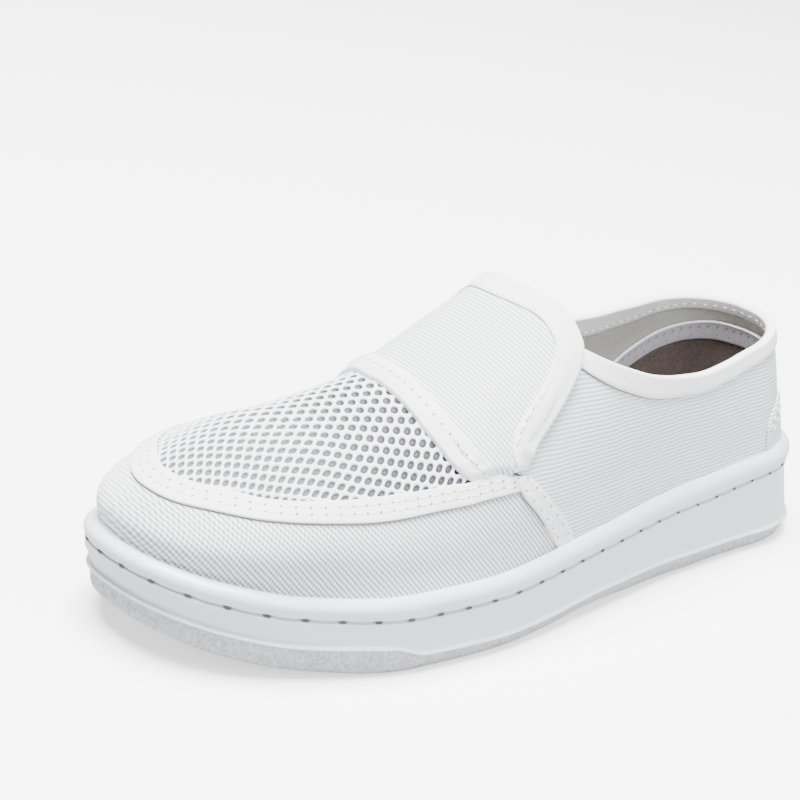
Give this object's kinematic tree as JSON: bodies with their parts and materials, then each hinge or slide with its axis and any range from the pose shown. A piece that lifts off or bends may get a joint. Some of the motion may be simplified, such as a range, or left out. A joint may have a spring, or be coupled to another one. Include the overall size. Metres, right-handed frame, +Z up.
{
  "type": "anti-static mesh work shoe",
  "caption": "Left slip-on work shoe: canvas upper with a mesh vamp, bound instep flap and collar, on a cup sole with a stitched rim and a grooved tread.",
  "frame": {"origin": "centre of the shoe's box, on the ground under the sole", "axes": "+Z up, -Y towards the toe, +X towards the outer (lateral) side"},
  "size_m": [0.1036, 0.28, 0.0982],
  "materials": {
    "canvas": "white ribbed canvas",
    "tape": "white sewn tape",
    "sole": "smooth satin moulded sole",
    "tread": "matt grained tread",
    "insole": "dark brown woven lining"
  },
  "bodies": {
    "root": {"outsole": "tread", "midsole": "sole", "insole": "insole", "upper": "canvas", "tongue": "canvas", "tongue_hem": "tape", "tongue_binding": "tape", "collar_binding": "tape", "vamp_tape": "tape", "side_tape_lateral": "tape", "side_tape_medial": "tape", "heel_stay": "canvas"}
  },
  "joints": []
}
